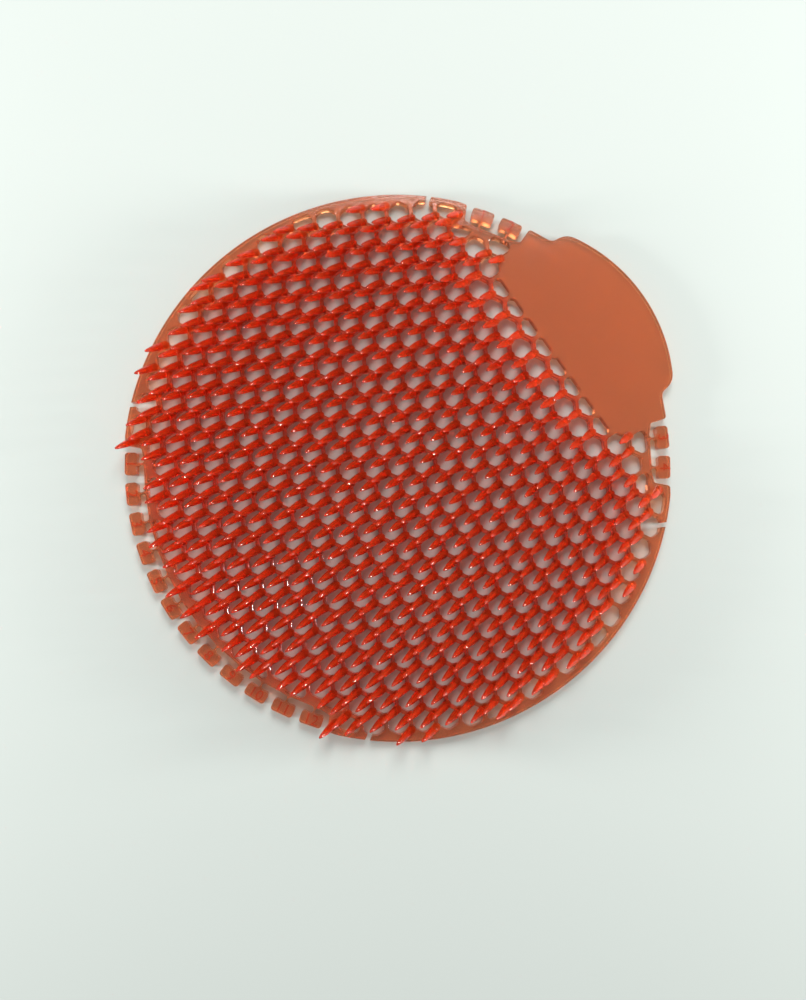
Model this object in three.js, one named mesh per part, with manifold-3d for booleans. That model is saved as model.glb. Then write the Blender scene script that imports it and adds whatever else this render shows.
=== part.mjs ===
// A urinal deodorizer screen: one flexible moulding. It is a round plate of hexagonal holes with a slanted
// bristle on the junctions of its webs, a plain leaf at one side, and small tear-off tabs in recesses of
// its rim. Millimetres, +Z up. The plate lies on its flat underside, the bristles stand on top and lean
// towards -Y, and the leaf is at +Y. Both sides of the plane X = 0 are alike.
import * as THREE from 'three';
import { mergeVertices } from 'three/addons/utils/BufferGeometryUtils.js';
import Module from 'manifold-3d';

const wasm = await Module();
wasm.setup();

// Driving sizes of the plate and its holes
const discDiameter = 179;
const plateThickness = 3.8;
const holePitch = 8.45;
const holeAcrossFlats = 5.9;
const rimWidth = 3;
const smallestHoleDepth = 3.4;
const edgeStepAngle = 6;

// Driving sizes of the leaf, a bulge past the disc without holes. Its straight inner edge halves a row.
const leafReach = 98.3;
const leafCrownRadius = 55.6;
const leafShoulderRadius = 6;
const leafShoulderOffset = 24.5;
const leafHollowRadius = 3;
const leafEdge = 62.4;
const leafEdgeRow = 9;
const leafEdgeHoles = 8;

// Driving sizes of the bristles
const bristleHeight = 8;
const bristleLean = 6;
const bristleToRim = 1.2;
const bristleToLeaf = 3;

// Driving sizes of the tabs and of the recesses that they stand in
const tabLength = 8.4;
const tabDepth = 5;
const tabCornerRadius = 1.4;
const tabSpacing = 1.7;
const tabGap = 1;
const neckWidth = 1.8;
const frontTabs = 12;
const leafTabs = 2;
const leafTabsStartAngle = 26.6;
const recessEndGap = 1.6;
const recessCornerRadius = 1.4;

// Driving sizes of the four slits that free the rim beside the recesses
const slitWidth = 1.5;
const slitAngles = [49, 131];

// Worked out from the driving sizes
const discRadius = discDiameter / 2;
const recessRadius = discRadius - tabDepth - tabGap;
const rowPitch = holePitch * Math.sqrt(3) / 2;
const holeCornerRadius = holeAcrossFlats / Math.sqrt(3);
const junctionRadius = holePitch / Math.sqrt(3);
const firstRowPlace = leafEdge - leafEdgeRow * rowPitch;

// Angles are in degrees, clockwise from above, from the leaf's middle at +Y. The front's middle is half a
// turn from there, and a hole's corners are a sixth of a turn apart.
const halfTurn = 180;
const sixthTurn = halfTurn / 3;

// A length along the disc's edge as an angle, in degrees
const edgeAngle = (length) => THREE.MathUtils.radToDeg(length / discRadius);

// The point at a radius and an angle
function at(radius, angle) {
  const turn = THREE.MathUtils.degToRad(angle);
  return new THREE.Vector2(radius * Math.sin(turn), radius * Math.cos(turn));
}

function angleOf(point) {
  return THREE.MathUtils.radToDeg(Math.atan2(point.x, point.y));
}

// The tabs on the +X side by their angles, and the recess that each group stands in. The front recess goes
// on past the middle of the front, over to the -X side.
const tabPitchAngle = edgeAngle(tabLength + tabSpacing);
const recessReach = edgeAngle(tabLength / 2 + recessEndGap);

function tabAngles(count, start) {
  return Array.from({ length: count }, (_, k) => start + (k + 0.5) * tabPitchAngle);
}

const leafTabAngles = tabAngles(leafTabs, leafTabsStartAngle);
const leafRecess = {
  tabs: leafTabAngles,
  start: leafTabAngles[0] - recessReach,
  end: leafTabAngles.at(-1) + recessReach,
};
const frontTabAngles = tabAngles(frontTabs / 2, halfTurn - frontTabs / 2 * tabPitchAngle);
const frontRecess = {
  tabs: frontTabAngles,
  start: frontTabAngles[0] - recessReach,
  end: frontTabAngles.at(-1) + tabPitchAngle / 2,
};

// Whether a recess lies at this angle, or within a margin of it along the edge
function atRecess(angle, margin) {
  const turn = Math.abs(angle);
  const more = edgeAngle(margin);
  return [leafRecess, frontRecess].some(({ start, end }) => turn > start - more && turn < end + more);
}

// Points along an arc about a centre, from one angle to another, closer together on a small arc
function arcPoints(centre, radius, from, to) {
  const step = edgeStepAngle * Math.sqrt(discRadius / radius);
  const steps = Math.max(1, Math.round(Math.abs(to - from) / step));
  return Array.from({ length: steps + 1 }, (_, k) => at(radius, from + (to - from) * k / steps).add(centre));
}

// A tab and the neck that it hangs on, as a detour of the recess's edge
function tabPoints(angle) {
  const outward = at(1, angle);
  const along = at(1, angle + 90);
  const place = (out, side) => outward.clone().multiplyScalar(out).addScaledVector(along, side);
  const inner = discRadius - tabDepth;
  const half = tabLength / 2;
  const neck = neckWidth / 2;
  const corner = tabCornerRadius;
  return [
    place(recessRadius, -neck),
    place(inner, -neck),
    place(inner, -half),
    place(discRadius - corner, -half),
    place(discRadius, corner - half),
    place(discRadius, half - corner),
    place(discRadius - corner, half),
    place(inner, half),
    place(inner, neck),
    place(recessRadius, neck),
  ];
}

// The two chamfered corners where the rim steps in or out at the end of a recess
function stepPoints(from, to, angle) {
  const inward = recessCornerRadius * Math.sign(to - from);
  const turn = edgeAngle(recessCornerRadius);
  return [at(from, angle - turn), at(from + inward, angle), at(to - inward, angle), at(to, angle + turn)];
}

// The outline on the +X side, from the leaf's crown round to the middle of the front recess
function halfOutline() {
  const middle = new THREE.Vector2(0, 0);
  const crown = new THREE.Vector2(0, leafReach - leafCrownRadius);
  const shoulderRun = leafCrownRadius - leafShoulderRadius;
  const shoulderRise = Math.sqrt(shoulderRun ** 2 - leafShoulderOffset ** 2);
  const shoulder = new THREE.Vector2(leafShoulderOffset, crown.y + shoulderRise);
  const crownEnd = angleOf(shoulder.clone().sub(crown));
  // The hollow touches the shoulder and the disc from outside.
  const toShoulder = shoulder.length();
  const toHollow = discRadius + leafHollowRadius;
  const between = leafShoulderRadius + leafHollowRadius;
  const turn = Math.acos((toShoulder ** 2 + toHollow ** 2 - between ** 2) / (2 * toShoulder * toHollow));
  const hollowAngle = angleOf(shoulder) + THREE.MathUtils.radToDeg(turn);
  const hollow = at(toHollow, hollowAngle);
  const shoulderEnd = angleOf(hollow.clone().sub(shoulder));
  return [
    ...arcPoints(crown, leafCrownRadius, 0, crownEnd),
    ...arcPoints(shoulder, leafShoulderRadius, crownEnd, shoulderEnd).slice(1),
    ...arcPoints(hollow, leafHollowRadius, shoulderEnd - halfTurn, hollowAngle - halfTurn).slice(1),
    ...stepPoints(discRadius, recessRadius, leafRecess.start),
    ...leafRecess.tabs.flatMap(tabPoints),
    ...stepPoints(recessRadius, discRadius, leafRecess.end),
    ...arcPoints(middle, discRadius, leafRecess.end, frontRecess.start).slice(1, -1),
    ...stepPoints(discRadius, recessRadius, frontRecess.start),
    ...frontRecess.tabs.flatMap(tabPoints),
  ];
}

function outline() {
  const right = halfOutline();
  const left = right.slice(1).reverse().map((point) => new THREE.Vector2(-point.x, point.y));
  return [...right, ...left].reverse();
}

// How far out the lattice reaches: to the inside of the rim, which steps in round each recess
function reachAt(angle, halfWidth) {
  return (atRecess(angle, halfWidth + rimWidth) ? recessRadius : discRadius) - rimWidth;
}

// The part of a convex outline on the near side of a straight line
function clip(points, normal, limit) {
  const kept = [];
  points.forEach((point, k) => {
    const next = points[(k + 1) % points.length];
    const here = point.dot(normal) - limit;
    const there = next.dot(normal) - limit;
    if (here <= 0) kept.push(point);
    if (here * there < 0) kept.push(point.clone().lerp(next, here / (here - there)));
  });
  return kept;
}

// The lattice: rows along X, each shifted by half a pitch from the next. A place is its column, counted
// in pitches from X = 0, and its row.
const holeCentre = (column, row) => new THREE.Vector2(column * holePitch, firstRowPlace + row * rowPitch);

function latticePlaces() {
  const places = [];
  const rows = Math.ceil((discRadius + Math.abs(firstRowPlace)) / rowPitch);
  const columns = Math.ceil(discRadius / holePitch);
  for (let row = -rows; row <= rows; row += 1) {
    for (let k = -columns; k <= columns; k += 1) {
      places.push([k + (row % 2 ? 0.5 : 0), row]);
    }
  }
  return places;
}

// The leaf is bounded by its straight edge and, at the ends of it, by two other directions of the lattice.
function inLeaf(column, row) {
  return row >= leafEdgeRow && Math.abs(column) < (leafEdgeHoles + row - leafEdgeRow) / 2;
}

// A hexagonal hole with two sides along Y, cut short by the rim, or null where there is no room for one
function holeOutline(column, row) {
  const centre = holeCentre(column, row);
  const corners = Array.from({ length: 6 }, (_, k) => at(holeCornerRadius, k * sixthTurn).add(centre));
  if (inLeaf(column, row)) return row === leafEdgeRow ? corners : null;
  if (centre.length() < holePitch) return corners;
  const outward = centre.clone().normalize();
  const limit = reachAt(angleOf(centre), holeAcrossFlats / 2);
  const near = Math.min(...corners.map((corner) => corner.dot(outward)));
  return limit - near < smallestHoleDepth ? null : clip(corners, outward, limit);
}

const holes = new Map();
for (const [column, row] of latticePlaces()) {
  const found = holeOutline(column, row);
  if (found) holes.set(`${column},${row}`, found);
}

// A closed geometry as a solid, and a solid as a geometry
function solidOf(geometry) {
  const bare = geometry.clone();
  bare.deleteAttribute('normal');
  bare.deleteAttribute('uv');
  const merged = mergeVertices(bare, 1e-4);
  return new wasm.Manifold(new wasm.Mesh({
    numProp: 3,
    vertProperties: merged.getAttribute('position').array,
    triVerts: new Uint32Array(merged.index.array),
  }));
}

function geometryOf(solid) {
  const mesh = solid.getMesh();
  const geometry = new THREE.BufferGeometry();
  geometry.setAttribute('position', new THREE.BufferAttribute(mesh.vertProperties, 3));
  geometry.setIndex(new THREE.BufferAttribute(mesh.triVerts, 1));
  geometry.computeVertexNormals();
  return geometry;
}

function plate() {
  const shape = new THREE.Shape(outline());
  shape.holes = [...holes.values()].map((points) => new THREE.Path(points));
  return solidOf(new THREE.ExtrudeGeometry(shape, { depth: plateThickness, bevelEnabled: false }));
}

// The leaf's straight edge closes the far half of each hole in its row.
function leafEdgeStrip() {
  const width = leafEdgeHoles * holePitch;
  const depth = junctionRadius;
  const strip = new THREE.BoxGeometry(width, depth, plateThickness);
  strip.translate(0, leafEdge + depth / 2, plateThickness / 2);
  return solidOf(strip);
}

// A slit runs outwards from the middle of the hole nearest to its angle and parts the rim there.
function slit(angle) {
  const aim = at(discRadius - rimWidth - holeCornerRadius, angle);
  const centres = [...holes.keys()].map((key) => holeCentre(...key.split(',').map(Number)));
  const [start] = centres.sort((one, other) => one.distanceTo(aim) - other.distanceTo(aim));
  const box = new THREE.BoxGeometry(discRadius, slitWidth, 2 * plateThickness);
  box.translate(discRadius / 2, 0, plateThickness / 2);
  box.rotateZ(Math.atan2(start.y, start.x));
  box.translate(start.x, start.y, 0);
  return solidOf(box);
}

// The web junctions that carry a bristle. Each lies above or below one hole, between two more.
function bristleJunctions() {
  const junctions = [];
  for (const [column, row] of latticePlaces()) {
    for (const side of [1, -1]) {
      const around = [[column, row], [column - 0.5, row + side], [column + 0.5, row + side]];
      const open = around.filter(([c, r]) => holes.has(`${c},${r}`)).length;
      const place = holeCentre(column, row).add(new THREE.Vector2(0, side * junctionRadius));
      const clearOfRim = place.length() <= reachAt(angleOf(place), 0) - bristleToRim;
      const besideLeaf = Math.abs(place.x) > leafEdgeHoles / 2 * holePitch;
      const clearOfLeaf = besideLeaf || place.y <= leafEdge - bristleToLeaf;
      if (open >= 2 && clearOfRim && clearOfLeaf) junctions.push({ place, side });
    }
  }
  return junctions;
}

// A slanted three-sided spike, whose foot fills the web junction between the corners of its three holes
function bristleFaces({ place, side }) {
  const foot = junctionRadius - holeCornerRadius;
  const [a, b, c] = (side > 0 ? [1, 3, 5] : [0, 2, 4]).map((turns) => {
    const corner = at(foot, turns * sixthTurn).add(place);
    return [corner.x, corner.y, plateThickness];
  });
  const tip = [place.x, place.y - bristleLean, plateThickness + bristleHeight];
  return [a, b, c, b, a, tip, c, b, tip, a, c, tip].flat();
}

function bristles() {
  const positions = bristleJunctions().flatMap(bristleFaces);
  const geometry = new THREE.BufferGeometry();
  geometry.setAttribute('position', new THREE.Float32BufferAttribute(positions, 3));
  return solidOf(geometry);
}

// Soft, glossy, translucent orange vinyl
const vinyl = new THREE.MeshStandardMaterial({ color: '#d8421f', roughness: 0.3, metalness: 0 });

const slits = slitAngles.flatMap((angle) => [slit(angle), slit(-angle)]);
const pierced = plate().add(leafEdgeStrip());
const moulding = slits.reduce((solid, cut) => solid.subtract(cut), pierced).add(bristles());
const screenMesh = new THREE.Mesh(geometryOf(moulding), vinyl);
screenMesh.name = 'deodorizer_screen';

// The frame's origin is under the middle of the moulding's length and width.
screenMesh.geometry.computeBoundingBox();
const middle = screenMesh.geometry.boundingBox.getCenter(new THREE.Vector3());
screenMesh.position.set(0, -middle.y, 0);

const screen = new THREE.Group();
screen.add(screenMesh);
export default screen;
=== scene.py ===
# %% [markdown]
# A urinal deodorizer screen: one flexible moulding of orange vinyl. It is a round plate pierced by
# hexagonal holes, with a slanted bristle on every junction of its webs, a plain leaf at one side and small
# numbered tabs in recesses of its rim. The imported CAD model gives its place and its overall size. This
# script makes the finely rounded mesh that stands for it, its clear material, the light and the camera.

# %% Load the frame and keep its box
import math
import random

import bmesh
import bpy
from mathutils import Matrix, Vector


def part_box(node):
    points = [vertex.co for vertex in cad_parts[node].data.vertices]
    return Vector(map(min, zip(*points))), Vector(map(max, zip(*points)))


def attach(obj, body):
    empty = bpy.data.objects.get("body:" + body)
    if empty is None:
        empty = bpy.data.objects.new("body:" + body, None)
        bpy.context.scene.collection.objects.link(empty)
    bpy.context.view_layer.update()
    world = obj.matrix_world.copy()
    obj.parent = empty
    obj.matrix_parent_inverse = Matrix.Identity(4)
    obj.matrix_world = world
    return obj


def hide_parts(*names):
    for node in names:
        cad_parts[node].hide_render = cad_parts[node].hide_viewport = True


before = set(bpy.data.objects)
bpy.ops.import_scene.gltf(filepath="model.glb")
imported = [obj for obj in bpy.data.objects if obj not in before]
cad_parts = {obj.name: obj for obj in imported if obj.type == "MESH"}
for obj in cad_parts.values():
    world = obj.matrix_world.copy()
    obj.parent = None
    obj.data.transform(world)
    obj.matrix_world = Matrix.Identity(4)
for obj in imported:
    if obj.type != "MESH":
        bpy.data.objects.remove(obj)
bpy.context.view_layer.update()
low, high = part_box("deodorizer_screen")
mm = 0.001
print("CAD box in mm:", [round(v / mm, 2) for v in (*low, *high)])

# %% [markdown]
# The camera looks almost straight down, a little from one side, and is turned so that the leaf points to
# the upper right of the picture. A camera is easiest to place by three things: where it stands, the point
# that it looks at, and which way on the plate is up in the picture.

# %% Camera
camera_place = Vector((20.90, -24.87, 351.28)) * mm
camera_aim = Vector((10.06, -9.76, 0)) * mm
picture_up_bearing = math.radians(54.5)
picture_height_px = 1000
focal_length_px = 1070

camera = bpy.data.objects.new("camera", bpy.data.cameras.new("camera"))
bpy.context.scene.collection.objects.link(camera)
camera.data.lens = camera.data.sensor_width * focal_length_px / picture_height_px
camera.data.clip_start = 10 * mm
back = (camera_place - camera_aim).normalized()
up_hint = Vector((-math.sin(picture_up_bearing), math.cos(picture_up_bearing), 0))
right = up_hint.cross(back).normalized()
axes = Matrix((right, back.cross(right), back)).transposed()
camera.matrix_world = Matrix.Translation(camera_place) @ axes.to_4x4()
bpy.context.scene.camera = camera
print("lens in mm:", round(camera.data.lens, 1))

# %% [markdown]
# The plate's outline is worked out from a few real sizes. Angles are measured from the leaf's middle, at
# +Y, clockwise from above, because the moulding is the same on both sides of that line. Each outline is a
# list of points with the radius that rounds the corner there, so that the long arcs stay exact and the
# small corners stay soft, as a moulding's are.

# %% Sizes of the plate, the leaf and the tabs, in millimetres
disc_radius = 89.4
plate_thickness = 3.8
rim_width = 2.4
hole_pitch = 8.0
hole_across_flats = 5.2
leaf_reach = 98.3
leaf_crown_radius = 55.6
leaf_shoulder_radius = 6
leaf_shoulder_offset = 24.5
leaf_hollow_radius = 3
tab_length = 8.4
tab_depth = 5
tab_gap = 1
tab_spacing = 1.7
tab_corner_radius = 1.5
neck_width = 1.8
neck_corner_radius = 0.3
front_tabs = 12
leaf_tabs = 2
leaf_tabs_start_angle = 26.2
recess_end_gap = 1.6
recess_corner_radius = 1.2

recess_radius = disc_radius - tab_depth - tab_gap
row_pitch = hole_pitch * math.sqrt(3) / 2
disc_middle = Vector((0, high.y / mm - leaf_reach))
print("the disc's middle along Y in mm:", round(disc_middle.y, 2))


def at(radius, angle):
    """The point at a radius and an angle in degrees, clockwise from +Y."""
    turn = math.radians(angle)
    return Vector((radius * math.sin(turn), radius * math.cos(turn)))


def angle_of(point):
    return math.degrees(math.atan2(point.x, point.y))


def edge_angle(length):
    """A length along the disc's edge as an angle in degrees."""
    return math.degrees(length / disc_radius)


# %% [markdown]
# A moulded edge has no sharp corner anywhere, because the tool that makes it is cut with a round mill. So
# long arcs are drawn with a point every degree or so, and every small corner becomes a short arc of its own,
# limited by the edges beside it.

# %% Rounded corners and arcs
arc_step = 1.5
small_arc_step = 12
corner_pieces = 4
longest_edge_share = 0.45


def arc(centre, radius, start, end, step=arc_step):
    """Points along an arc, each with no rounding of its own."""
    count = max(2, round(abs(end - start) / step))
    turns = [start + (end - start) * k / count for k in range(count + 1)]
    return [(centre + at(radius, turn), 0) for turn in turns]


def rounded(corners, pieces=corner_pieces):
    """The points of a closed outline of (corner, radius) pairs, with each corner rounded by an arc."""
    points = []
    for k, (corner, radius) in enumerate(corners):
        if radius == 0:
            points.append(corner)
            continue
        before = corners[k - 1][0] - corner
        after = corners[(k + 1) % len(corners)][0] - corner
        half = before.angle(after) / 2
        shorter_edge = min(before.length, after.length)
        radius = min(radius, longest_edge_share * shorter_edge * math.tan(half))
        before, after = before.normalized(), after.normalized()
        middle = corner + (before + after).normalized() * radius / math.sin(half)
        first = corner + before * radius / math.tan(half) - middle
        last = corner + after * radius / math.tan(half) - middle
        points += [middle + first.slerp(last, n / pieces) for n in range(pieces + 1)]
    return points


print("points on a quarter of the disc's edge:", len(arc(Vector((0, 0)), disc_radius, 0, 90)))

# %% [markdown]
# The tabs stand in recesses, each on a thin neck that a finger can tear. A recess is an arc of a smaller
# radius, and each tab is a detour from that arc: out along the neck, round the tab and back.

# %% The plate's outline
tab_step = edge_angle(tab_length + tab_spacing)
recess_reach = edge_angle(tab_length / 2 + recess_end_gap)
leaf_tab_angles = [leaf_tabs_start_angle + (k + 0.5) * tab_step for k in range(leaf_tabs)]
front_tab_angles = [180 + (k + 0.5 - front_tabs / 2) * tab_step for k in range(front_tabs // 2)]
leaf_recess = (leaf_tab_angles[0] - recess_reach, leaf_tab_angles[-1] + recess_reach)
front_recess = (front_tab_angles[0] - recess_reach, 180)


def tab_corners(angle):
    outward = at(1, angle)
    along = at(1, angle + 90)
    inner = disc_radius - tab_depth
    half, neck = tab_length / 2, neck_width / 2
    wide, small = tab_corner_radius, neck_corner_radius
    places = [
        (recess_radius, -neck, small), (inner, -neck, small), (inner, -half, wide),
        (disc_radius, -half, wide), (disc_radius, half, wide),
        (inner, half, wide), (inner, neck, small), (recess_radius, neck, small),
    ]
    return [(outward * out + along * side, radius) for out, side, radius in places]


def recess_end(first_radius, last_radius, angle):
    """The step of the edge at one end of a recess."""
    return [(at(first_radius, angle), recess_corner_radius), (at(last_radius, angle), recess_corner_radius)]


def leaf_edge():
    """The leaf's edge on the +X side, from the crown over the shoulder to the hollow on the disc's edge."""
    crown = Vector((0, leaf_reach - leaf_crown_radius))
    run = leaf_crown_radius - leaf_shoulder_radius
    shoulder = crown + Vector((leaf_shoulder_offset, math.sqrt(run**2 - leaf_shoulder_offset**2)))
    crown_end = angle_of(shoulder - crown)
    to_shoulder, to_hollow = shoulder.length, disc_radius + leaf_hollow_radius
    between = leaf_shoulder_radius + leaf_hollow_radius
    cosine = (to_shoulder**2 + to_hollow**2 - between**2) / (2 * to_shoulder * to_hollow)
    hollow_angle = angle_of(shoulder) + math.degrees(math.acos(cosine))
    hollow = at(to_hollow, hollow_angle)
    shoulder_end = angle_of(hollow - shoulder)
    return [
        *arc(crown, leaf_crown_radius, 0, crown_end),
        *arc(shoulder, leaf_shoulder_radius, crown_end, shoulder_end, small_arc_step)[1:],
        *arc(hollow, leaf_hollow_radius, shoulder_end - 180, hollow_angle - 180, small_arc_step)[1:],
    ]


def half_outline():
    """The outline on the +X side, from the leaf's crown to the middle of the front recess."""
    centre = Vector((0, 0))
    corner_room = tab_step / 3
    corners = leaf_edge()
    corners += recess_end(disc_radius, recess_radius, leaf_recess[0])
    for angle in leaf_tab_angles:
        corners += tab_corners(angle)
    corners += recess_end(recess_radius, disc_radius, leaf_recess[1])
    corners += arc(centre, disc_radius, leaf_recess[1] + corner_room, front_recess[0] - corner_room)
    corners += recess_end(disc_radius, recess_radius, front_recess[0])
    for angle in front_tab_angles:
        corners += tab_corners(angle)
    return corners


right_half = half_outline()
left_half = [(Vector((-corner.x, corner.y)), radius) for corner, radius in reversed(right_half[1:])]
outline = rounded(right_half + left_half)
print("outline points:", len(outline))

# %% [markdown]
# The holes follow one honeycomb: rows of hexagons, each row shifted by half a pitch. The rim cuts the outer
# holes short, so each of those is a hexagon clipped by a straight line across the way out. At the leaf, the
# honeycomb ends on a straight edge that halves a row of holes.

# %% The honeycomb of holes
leaf_row = 9
leaf_row_holes = 8
smallest_hole_depth = 1.8
recess_margin = 5
hole_corner_radius = hole_across_flats / math.sqrt(3)
junction_radius = hole_pitch / math.sqrt(3)
leaf_line = leaf_row * row_pitch


def at_recess(angle, margin):
    turn, more = abs(angle), edge_angle(margin)
    return any(start - more < turn < end + more for start, end in (leaf_recess, front_recess))


def reach_at(angle, margin=0):
    """How far out the honeycomb reaches: to the inside of the rim, which steps in round each recess."""
    return (recess_radius if at_recess(angle, margin) else disc_radius) - rim_width


def clip(points, normal, limit):
    """The part of a convex outline on the near side of a straight line."""
    kept = []
    for here, there in zip(points, points[1:] + points[:1]):
        near, far = here.dot(normal) - limit, there.dot(normal) - limit
        if near <= 0:
            kept.append(here)
        if near * far < 0:
            kept.append(here.lerp(there, near / (near - far)))
    return kept


def place_of(column, row):
    return Vector((column * hole_pitch, row * row_pitch))


def in_leaf(column, row):
    return row >= leaf_row and abs(column) < (leaf_row_holes + row - leaf_row) / 2


def hole_outline(column, row):
    """One hole's outline, or None where the rim or the leaf leaves no room for it."""
    centre = place_of(column, row)
    corners = [centre + at(hole_corner_radius, 60 * k) for k in range(6)]
    if in_leaf(column, row):
        return clip(corners, Vector((0, 1)), leaf_line) if row == leaf_row else None
    if centre.length < hole_pitch:
        return corners
    outward = centre.normalized()
    limit = reach_at(angle_of(centre), recess_margin)
    if limit - min(corner.dot(outward) for corner in corners) < smallest_hole_depth:
        return None
    return clip(corners, outward, limit)


rows = math.ceil(disc_radius / row_pitch)
columns = math.ceil(disc_radius / hole_pitch)
lattice = [(k + row % 2 / 2, row) for row in range(-rows, rows + 1) for k in range(-columns, columns + 1)]
holes = {place: hole_outline(*place) for place in lattice}
holes = {place: points for place, points in holes.items() if points}
print("holes:", len(holes))

# %% [markdown]
# A flat curve suits the plate. Each spline inside another is a hole, and the curve's own bevel rounds every
# edge of it. The bevel grows outwards, so an offset of the same size takes it back to the true outline.

# %% The plate as a flat curve with rounded edges
edge_rounding = 0.15
hole_rounding = 0.25
merge_distance = 0.001


def add_loop(curve, points):
    spline = curve.splines.new("POLY")
    spline.points.add(len(points) - 1)
    for spot, point in zip(spline.points, points):
        spot.co = (point.x * mm, point.y * mm, 0, 1)
    spline.use_cyclic_u = True


def slab(name, loops, bottom, top, rounding):
    """A closed mesh of flat loops with rounded edges, between two heights in millimetres."""
    curve = bpy.data.curves.new(name, "CURVE")
    curve.dimensions = "2D"
    curve.fill_mode = "BOTH"
    curve.extrude = ((top - bottom) / 2 - rounding) * mm
    curve.bevel_depth = rounding * mm
    curve.bevel_resolution = 0
    curve.offset = -rounding * mm
    for points in loops:
        add_loop(curve, points)
    carrier = bpy.data.objects.new(name, curve)
    bpy.context.scene.collection.objects.link(carrier)
    made = bpy.data.meshes.new_from_object(carrier.evaluated_get(bpy.context.evaluated_depsgraph_get()))
    bpy.data.objects.remove(carrier)
    bm = bmesh.new()
    bm.from_mesh(made)
    bpy.data.meshes.remove(made)
    bmesh.ops.remove_doubles(bm, verts=bm.verts, dist=merge_distance * mm)
    bmesh.ops.translate(bm, verts=bm.verts, vec=(0, 0, (bottom + top) / 2 * mm))
    return bm


def solid(bm, name):
    """Turns a bmesh into an object of the scene."""
    bmesh.ops.recalc_face_normals(bm, faces=bm.faces)
    mesh = bpy.data.meshes.new(name)
    bm.to_mesh(mesh)
    bm.free()
    made = bpy.data.objects.new(name, mesh)
    bpy.context.scene.collection.objects.link(made)
    return made


hole_loops = [rounded([(point, hole_rounding) for point in points], pieces=1) for points in holes.values()]
screen = solid(slab("screen", [outline, *hole_loops], 0, plate_thickness, edge_rounding), "screen")
print("plate faces:", len(screen.data.polygons))

# %% [markdown]
# Four slits part the rim, each from the flat side of one outer hole, so that the edge can bend to the bowl.
# A boolean with a thin box cuts each of them.

# %% Slits
slit_width = 1.5
slit_hole = (8, 8)
slit_bearing = 30
slit_cut_height = 3 * plate_thickness


def combine(base, other, operation):
    """Joins or cuts a solid with another one, which is then removed."""
    step = base.modifiers.new(operation.lower(), "BOOLEAN")
    step.operation = operation
    step.solver = "MANIFOLD"
    step.object = other
    made = bpy.data.meshes.new_from_object(base.evaluated_get(bpy.context.evaluated_depsgraph_get()))
    base.modifiers.remove(step)
    old, base.data = base.data, made
    bpy.data.meshes.remove(old)
    bpy.data.objects.remove(other)


slits = bmesh.new()
for side_x in (1, -1):
    for side_y in (1, -1):
        outward = at(1, slit_bearing) * disc_radius / 2
        start = place_of(*slit_hole)
        middle = start + outward
        turn = math.atan2(outward.y, outward.x)
        box = bmesh.ops.create_cube(slits, size=1)["verts"]
        size = Vector((disc_radius, slit_width, slit_cut_height)) * mm
        bmesh.ops.scale(slits, verts=box, vec=size)
        bmesh.ops.rotate(slits, verts=box, matrix=Matrix.Rotation(turn, 3, "Z"))
        bmesh.ops.translate(slits, verts=box, vec=(middle.x * mm, middle.y * mm, 0))
        bmesh.ops.scale(slits, verts=box, vec=(side_x, side_y, 1))
combine(screen, solid(slits, "slits"), "DIFFERENCE")
print("faces with slits:", len(screen.data.polygons))

# %% [markdown]
# Each bristle is a long soft thorn. It fills the junction between three holes at its foot, tapers to a
# blunt tip and leans over towards -Y. One thorn is drawn from a circle, by extruding and scaling it ring
# after ring, and then repeated on every junction. It has few faces, because there are over 700 of them.

# %% One bristle
bristle_height = 8
bristle_lean = 6
bristle_foot_radius = 1.5
bristle_sink = 0.6
bristle_sides = 8
bristle_rings = [(0.0, 1.0), (0.3, 0.9), (0.6, 0.71), (0.87, 0.42), (0.98, 0.2)]


def one_bristle():
    """A thorn on the plate's top at the disc's middle, with its foot sunk into the plate."""
    bm = bmesh.new()
    radius = bristle_foot_radius * mm
    ring = bmesh.ops.create_circle(bm, cap_ends=True, segments=bristle_sides, radius=radius)["verts"]
    bmesh.ops.translate(bm, verts=ring, vec=(0, 0, (plate_thickness - bristle_sink) * mm))
    middle, size = Vector((0, 0, (plate_thickness - bristle_sink) * mm)), 1.0
    edges = list(bm.edges)
    for share, taper in bristle_rings:
        grown = bmesh.ops.extrude_edge_only(bm, edges=edges)["geom"]
        ring = [part for part in grown if isinstance(part, bmesh.types.BMVert)]
        edges = [part for part in grown if isinstance(part, bmesh.types.BMEdge)]
        edges = [edge for edge in edges if all(end in ring for end in edge.verts)]
        place = Vector((0, -bristle_lean * share, plate_thickness + bristle_height * share)) * mm
        bmesh.ops.translate(bm, verts=ring, vec=place - middle)
        growth = Vector((1, 1, 1)) * taper / size
        bmesh.ops.scale(bm, verts=ring, vec=growth, space=Matrix.Translation(-place))
        middle, size = place, taper
    tip = Vector((0, -bristle_lean, plate_thickness + bristle_height)) * mm
    cap = bmesh.ops.extrude_edge_only(bm, edges=edges)["geom"]
    last_ring = [part for part in cap if isinstance(part, bmesh.types.BMVert)]
    bmesh.ops.pointmerge(bm, verts=last_ring, merge_co=tip)
    mesh = bpy.data.meshes.new("one_bristle")
    bmesh.ops.recalc_face_normals(bm, faces=bm.faces)
    bm.to_mesh(mesh)
    bm.free()
    return mesh


thorn = one_bristle()
print("faces of one bristle:", len(thorn.polygons))

# %% [markdown]
# On the real screen the bristles stand in the same honeycomb as the holes, and no two lean quite alike once
# they are out of the tool. A shear tilts each copy a little, by a seeded draw that is the same each time,
# and one boolean joins them all to the plate, so that the moulding stays one closed body.

# %% The bristles, one on each junction beside two or more holes
bristle_to_rim = 1.2
bristle_to_leaf = 3
lean_variation = 0.15


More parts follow.
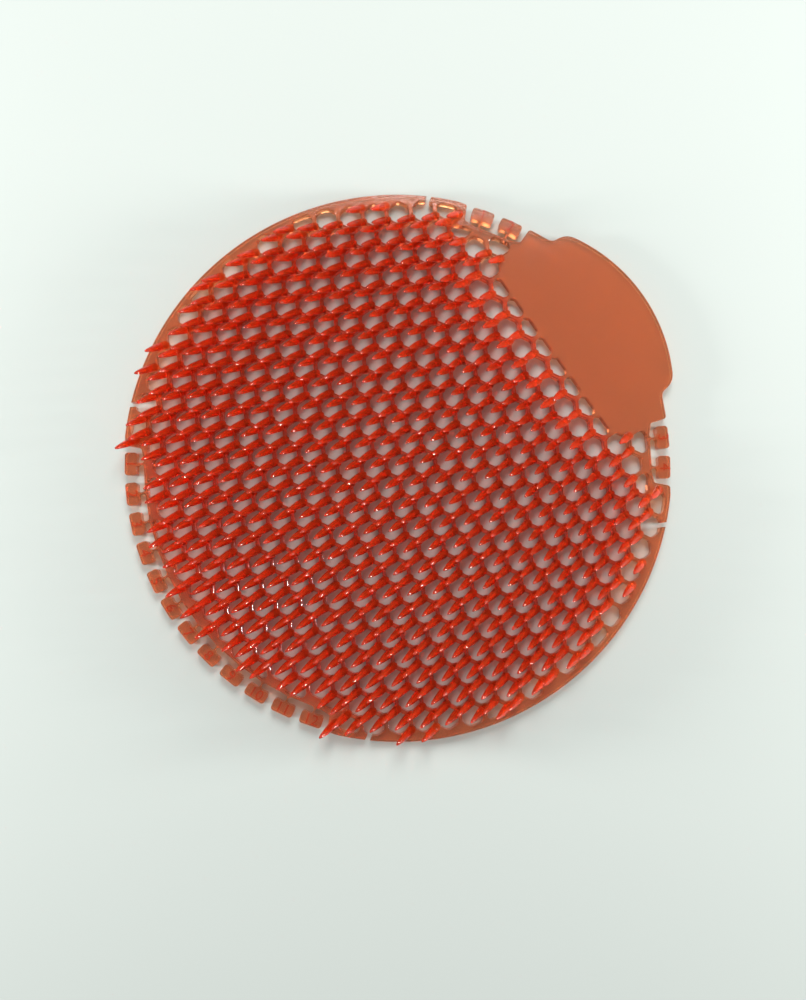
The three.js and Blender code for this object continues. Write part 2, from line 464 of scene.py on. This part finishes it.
def bristle_places():
    """The junctions above and below each hole that carry a bristle."""
    places = []
    for column, row in lattice:
        for side in (1, -1):
            around = [(column, row), (column - 0.5, row + side), (column + 0.5, row + side)]
            place = place_of(column, row) + Vector((0, side * junction_radius))
            clear_of_rim = place.length <= reach_at(angle_of(place)) - bristle_to_rim
            beside_leaf = abs(place.x) > leaf_row_holes / 2 * hole_pitch
            clear_of_leaf = beside_leaf or place.y <= leaf_line - bristle_to_leaf
            if sum(spot in holes for spot in around) >= 2 and clear_of_rim and clear_of_leaf:
                places.append(place)
    return places


draw = random.Random(7)
bristles = bmesh.new()
junctions = bristle_places()
for place in junctions:
    bristles.from_mesh(thorn)
    bristles.verts.ensure_lookup_table()
    grown = bristles.verts[-len(thorn.vertices):]
    tilt_x, tilt_y = (draw.uniform(-lean_variation, lean_variation) / bristle_height for _ in range(2))
    shear = Matrix(((1, 0, tilt_x), (0, 1, tilt_y), (0, 0, 1)))
    pivot = Matrix.Translation((0, 0, -plate_thickness * mm))
    bmesh.ops.transform(bristles, verts=grown, matrix=shear.to_4x4(), space=pivot)
    bmesh.ops.translate(bristles, verts=grown, vec=(place.x * mm, place.y * mm, 0))
print("bristles:", len(junctions))
combine(screen, solid(bristles, "bristles"), "UNION")
print("faces with bristles:", len(screen.data.polygons))

# %% [markdown]
# The tabs are numbered so that one can be torn off after each spell of use. The figures stand proud of the
# tabs, as a mould gives them. A text object makes each, and a boolean joins it to its tab.

# %% Raised numbers on the tabs
figure_height = 3.4
figure_rise = 0.6
figure_sink = 0.4
figure_curve_steps = 3

# A figure of Blender's own font stands about this share of the font's size high.
figure_share = 0.7


def number_on_tab(number, angle, upright):
    """A raised number in the middle of the tab at this angle, with its top away from the disc if upright."""
    text = bpy.data.curves.new(f"number_{number}", "FONT")
    text.body = str(number)
    text.size = figure_height / figure_share * mm
    text.align_x = "CENTER"
    text.align_y = "CENTER"
    text.resolution_u = figure_curve_steps
    text.extrude = (figure_rise + figure_sink) / 2 * mm
    carrier = bpy.data.objects.new(text.name, text)
    bpy.context.scene.collection.objects.link(carrier)
    place = at(disc_radius - tab_depth / 2, angle)
    turn = Matrix.Rotation(math.radians(-angle if upright else 180 - angle), 4, "Z")
    height = plate_thickness + (figure_rise - figure_sink) / 2
    made = bpy.data.meshes.new_from_object(carrier.evaluated_get(bpy.context.evaluated_depsgraph_get()))
    bpy.data.objects.remove(carrier)
    made.transform(Matrix.Translation(Vector((place.x, place.y, height)) * mm) @ turn)
    bm = bmesh.new()
    bm.from_mesh(made)
    bpy.data.meshes.remove(made)
    bmesh.ops.remove_doubles(bm, verts=bm.verts, dist=merge_distance * mm)
    return solid(bm, f"figure_{number}_{round(angle)}")


all_front = front_tab_angles + [360 - angle for angle in reversed(front_tab_angles)]
all_leaf = [-angle for angle in reversed(leaf_tab_angles)] + leaf_tab_angles
for number, angle in enumerate(reversed(all_front), 1):
    combine(screen, number_on_tab(number, angle, False), "UNION")
for number, angle in enumerate(all_leaf, 1):
    combine(screen, number_on_tab(number, angle, True), "UNION")
print("faces with numbers:", len(screen.data.polygons))

# %% [markdown]
# The moulding was drawn round the middle of its disc. The frame's origin is under the middle of its whole
# length, so the mesh moves along Y to the CAD model's place, while its object stays at the origin.

# %% Place, smooth shading and the frame's body
sharp_on_plate = math.radians(26)
sharp_on_bristle = math.radians(60)
above_plate = 0.01


def mark_sharp_edges(mesh):
    """Smooth bristles and round walls, with a sharp edge round every flat face."""
    bm = bmesh.new()
    bm.from_mesh(mesh)
    top = (plate_thickness + above_plate) * mm
    for face in bm.faces:
        face.smooth = True
    for edge in bm.edges:
        raised = max(end.co.z for end in edge.verts) > top
        edge.smooth = edge.calc_face_angle(0) < (sharp_on_bristle if raised else sharp_on_plate)
    print("open edges:", sum(not edge.is_manifold for edge in bm.edges))
    bm.to_mesh(mesh)
    bm.free()


screen.data.transform(Matrix.Translation((0, disc_middle.y * mm, 0)))
mark_sharp_edges(screen.data)
print("triangles:", sum(len(face.vertices) - 2 for face in screen.data.polygons))
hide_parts("deodorizer_screen")
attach(screen, "root")

# %% [markdown]
# The material is a soft clear vinyl, dyed orange all through and moulded in a polished tool. Light enters
# it, bends, and loses blue and green along the way, so thin tabs look amber, and the bristles, which light
# crosses several times, look a deep red. That takes a transmitting surface with an absorbing inside. The
# real bristles also scatter light among themselves until they look nearly solid. A few bounces can't show
# that, so a deeper red is painted into the surface colour in place of that scattered light, and the surface
# is made less clear, the more so with its height above the plate, and partly so on the webs, which stand
# close together. The rim, the tabs and the leaf keep the amber of a single thickness.

# %% Helpers for colours and nodes
def linear(code):
    """An sRGB hex colour as a linear RGBA."""
    values = [int(code[k:k + 2], 16) / 255 for k in (1, 3, 5)]
    return [v / 12.92 if v <= 0.04045 else ((v + 0.055) / 1.055) ** 2.4 for v in values] + [1]


def add_node(tree, kind, settings=None, values=None, links=None):
    """Adds a node with its settings, its input values and its links from (node, output) pairs."""
    node = tree.nodes.new(kind)
    for name, value in (settings or {}).items():
        setattr(node, name, value)
    for name, value in (values or {}).items():
        node.inputs[name].default_value = value
    for name, (source, output) in (links or {}).items():
        tree.links.new(source.outputs[output], node.inputs[name])
    return node


print("a middle grey in linear light:", round(linear("#808080")[0], 3))

# %% [markdown]
# The finish is polished all over, but soft vinyl is never quite flat. Faint ripples a few millimetres wide
# bend the highlights and change the gloss a little from place to place. Flexible vinyl has an IOR near 1.5,
# and a little less keeps the edges of the bristles from turning dark.

# %% Clear orange vinyl
plate_colour = "#f9b07c"
# Painted red: it stands in for light scattered among the bristles, not for a redder dye.
painted_scatter_red = "#fe5b2b"
inner_colour = "#f3a100"
inner_density = 120
plate_clearness = 0.9
bristle_clearness = 0.84
blend_height = 0.6
# The share of that painted red that lies on the webs.
painted_scatter_on_webs = 0.75
vinyl_ior = 1.4
ripple_size = 2.5
ripple_depth = 0.1
ripple_strength = 0.25
smoothest = 0.06
roughest = 0.16


def clear_vinyl():
    material = bpy.data.materials.new("clear_orange_vinyl")
    material.use_nodes = True
    tree = material.node_tree
    tree.nodes.clear()
    place = add_node(tree, "ShaderNodeTexCoord")
    parts = add_node(tree, "ShaderNodeSeparateXYZ", links={"Vector": (place, "Object")})
    blend = {"From Min": plate_thickness * mm, "From Max": (plate_thickness + blend_height) * mm}
    raised = add_node(tree, "ShaderNodeMapRange", values=blend, links={"Value": (parts, "Z")})
    from_middle = add_node(tree, "ShaderNodeMapping",
                           values={"Location": (0, -disc_middle.y * mm, 0), "Scale": (1, 1, 0)},
                           links={"Vector": (place, "Object")})
    reach = add_node(tree, "ShaderNodeVectorMath", {"operation": "LENGTH"},
                     links={0: (from_middle, "Vector")})
    to_rim = {"From Min": (recess_radius - 2 * rim_width) * mm, "From Max": recess_radius * mm}
    inside_rim = add_node(tree, "ShaderNodeMapRange", values={**to_rim, "To Min": 1, "To Max": 0},
                          links={"Value": (reach, "Value")})
    leaf_start = leaf_line + disc_middle.y
    to_leaf = {"From Min": (leaf_start - rim_width) * mm, "From Max": leaf_start * mm}
    before_leaf = add_node(tree, "ShaderNodeMapRange", values={**to_leaf, "To Min": painted_scatter_on_webs, "To Max": 0},
                           links={"Value": (parts, "Y")})
    webs = add_node(tree, "ShaderNodeMath", {"operation": "MULTIPLY"},
                    links={0: (inside_rim, "Result"), 1: (before_leaf, "Result")})
    # The painted red's share: it grows with the height above the plate and lies partly on the webs, in place
    # of scattered light.
    painted_scatter_share = add_node(tree, "ShaderNodeMath", {"operation": "MAXIMUM"},
                       links={0: (webs, "Value"), 1: (raised, "Result")})
    colour = add_node(tree, "ShaderNodeMixRGB",
                      values={"Color1": linear(plate_colour), "Color2": linear(painted_scatter_red)},
                      links={"Fac": (painted_scatter_share, "Value")})
    clearness = add_node(tree, "ShaderNodeMapRange",
                         values={"To Min": plate_clearness, "To Max": bristle_clearness},
                         links={"Value": (painted_scatter_share, "Value")})
    ripple = add_node(tree, "ShaderNodeTexNoise", values={"Scale": 1 / (ripple_size * mm), "Detail": 2},
                      links={"Vector": (place, "Object")})
    bump = add_node(tree, "ShaderNodeBump",
                    values={"Strength": ripple_strength, "Distance": ripple_depth * mm},
                    links={"Height": (ripple, "Fac")})
    haze = add_node(tree, "ShaderNodeMapRange", values={"To Min": smoothest, "To Max": roughest},
                    links={"Value": (ripple, "Fac")})
    surface = add_node(
        tree, "ShaderNodeBsdfPrincipled", values={"IOR": vinyl_ior},
        links={"Base Color": (colour, "Color"), "Transmission Weight": (clearness, "Result"),
               "Roughness": (haze, "Result"), "Normal": (bump, "Normal")},
    )
    inside = add_node(tree, "ShaderNodeVolumeAbsorption",
                      values={"Color": linear(inner_colour), "Density": inner_density})
    add_node(tree, "ShaderNodeOutputMaterial",
             links={"Surface": (surface, "BSDF"), "Volume": (inside, "Volume")})
    return material


screen.data.materials.clear()
screen.data.materials.append(clear_vinyl())
print("nodes in the vinyl:", len(screen.data.materials[0].node_tree.nodes))

# %% [markdown]
# The floor is a plain pale sheet just under the moulding. The light is soft and even, with one large lamp
# above and two low ones at the picture's sides, which the bevelled edges of the holes mirror as streaks.

# %% Floor, lamps and world
floor_drop = 0.02
floor_size = 1200
floor_roughness = 0.9


def pale_floor():
    bm = bmesh.new()
    bmesh.ops.create_grid(bm, x_segments=1, y_segments=1, size=floor_size / 2 * mm)
    bmesh.ops.translate(bm, verts=bm.verts, vec=(0, 0, -floor_drop * mm))
    floor = solid(bm, "floor")
    material = bpy.data.materials.new("pale_floor")
    material.use_nodes = True
    tree = material.node_tree
    tree.nodes["Principled BSDF"].inputs["Base Color"].default_value = linear("#b3bab5")
    tree.nodes["Principled BSDF"].inputs["Roughness"].default_value = floor_roughness
    floor.data.materials.append(material)


def soft_lamp(name, place, size, power):
    lamp = bpy.data.lights.new(name, "AREA")
    lamp.shape = "SQUARE"
    lamp.size = size * mm
    lamp.energy = power
    made = bpy.data.objects.new(name, lamp)
    made.location = Vector(place) * mm
    made.rotation_euler = (-made.location).to_track_quat("-Z", "Y").to_euler()
    bpy.context.scene.collection.objects.link(made)


pale_floor()
key_place = (-350, 300, 600)
key_size = 350
key_power = 5
soft_lamp("key_lamp", key_place, key_size, key_power)

side_distance = 600
side_height = 110
side_size = 120
side_power = 6
picture_right = (math.cos(picture_up_bearing), math.sin(picture_up_bearing))
for side in (1, -1):
    place = [side * side_distance * share for share in picture_right]
    soft_lamp(f"side_lamp_{side}", (*place, side_height), side_size, side_power)

world_strength = 0.5
world = bpy.data.worlds.new("even_light")
world.use_nodes = True
world.node_tree.nodes["Background"].inputs["Color"].default_value = (1, 1, 1, 1)
world.node_tree.nodes["Background"].inputs["Strength"].default_value = world_strength
bpy.context.scene.world = world
bpy.context.scene.view_settings.view_transform = "Standard"

# Light crosses many clear walls before it comes out of the bristles, so a path may be long.
longest_path = 18
bpy.context.scene.cycles.max_bounces = longest_path
bpy.context.scene.cycles.transmission_bounces = longest_path
print("lamps:", len(bpy.data.lights))
